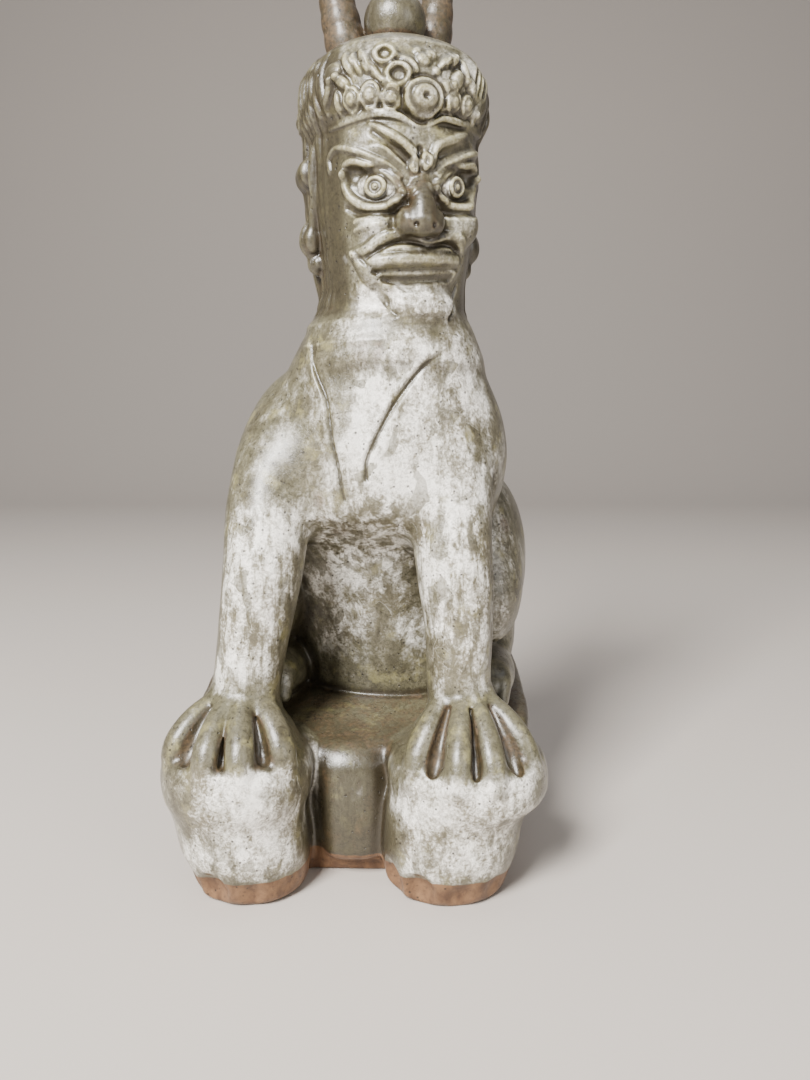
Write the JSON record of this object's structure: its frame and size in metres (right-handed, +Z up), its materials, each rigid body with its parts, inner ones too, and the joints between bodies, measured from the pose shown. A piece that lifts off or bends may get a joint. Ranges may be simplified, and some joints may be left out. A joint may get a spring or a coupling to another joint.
{
  "type": "foo dog statue",
  "caption": "Seated horned guardian beast in glazed ceramic, with a human-like face turned to one side and forepaws on two round lobes of a hollow plinth.",
  "frame": {"origin": "centre of the bounding box, on the surface the plinth stands on", "axes": "+Z up; the body faces -Y, so its own left side is +X; the head is turned towards +X"},
  "size_m": [0.117, 0.12, 0.2935],
  "materials": {
    "olive_glaze": "glossy olive-straw glaze, crazed and pitted",
    "whitened_glaze": "the same glaze with a whitish, streaky, half-matte weathered skin",
    "bare_clay": "matte tan-orange fired clay, glaze above it on the lobes' rims"
  },
  "bodies": {
    "root": {"brow_left": "olive_glaze", "brow_right": "olive_glaze", "crown_ball": "olive_glaze", "ear_left": "olive_glaze", "ear_right": "olive_glaze", "eyeball_left": "whitened_glaze", "eyeball_right": "whitened_glaze", "face_mould": "whitened_glaze", "foreleg_left": "whitened_glaze", "foreleg_right": "whitened_glaze", "forepaw_left": "olive_glaze", "forepaw_left_toe_1": "olive_glaze", "forepaw_left_toe_2": "olive_glaze", "forepaw_left_toe_3": "olive_glaze", "forepaw_left_toe_4": "olive_glaze", "forepaw_right": "olive_glaze", "forepaw_right_toe_1": "olive_glaze", "forepaw_right_toe_2": "olive_glaze", "forepaw_right_toe_3": "olive_glaze", "forepaw_right_toe_4": "olive_glaze", "front_roundel": "whitened_glaze", "front_roundel_boss": "whitened_glaze", "hair_back": "olive_glaze", "hair_band": "whitened_glaze", "hair_boss_1": "whitened_glaze", "hair_boss_10": "whitened_glaze", "hair_boss_2": "whitened_glaze", "hair_boss_3": "whitened_glaze", "hair_boss_4": "whitened_glaze", "hair_boss_5": "whitened_glaze", "hair_boss_6": "whitened_glaze", "hair_boss_7": "whitened_glaze", "hair_boss_8": "whitened_glaze", "hair_boss_9": "whitened_glaze", "hair_cap": "whitened_glaze", "haunch_left": "olive_glaze", "haunch_right": "olive_glaze", "hind_foot_left": "olive_glaze", "hind_foot_right": "olive_glaze", "hind_shank_left": "olive_glaze", "hind_shank_right": "olive_glaze", "horn_left": "olive_glaze", "horn_right": "olive_glaze", "nose": "bare_clay", "paw_lobe_left": "bare_clay", "paw_lobe_right": "bare_clay", "plinth": "olive_glaze", "ring_curl_1": "whitened_glaze", "ring_curl_2": "whitened_glaze", "ring_curl_3": "whitened_glaze", "ring_curl_4": "whitened_glaze", "skull_back_mould": "olive_glaze", "tail": "olive_glaze", "torso_back_mould": "olive_glaze", "torso_front_mould": "whitened_glaze"}
  },
  "joints": []
}
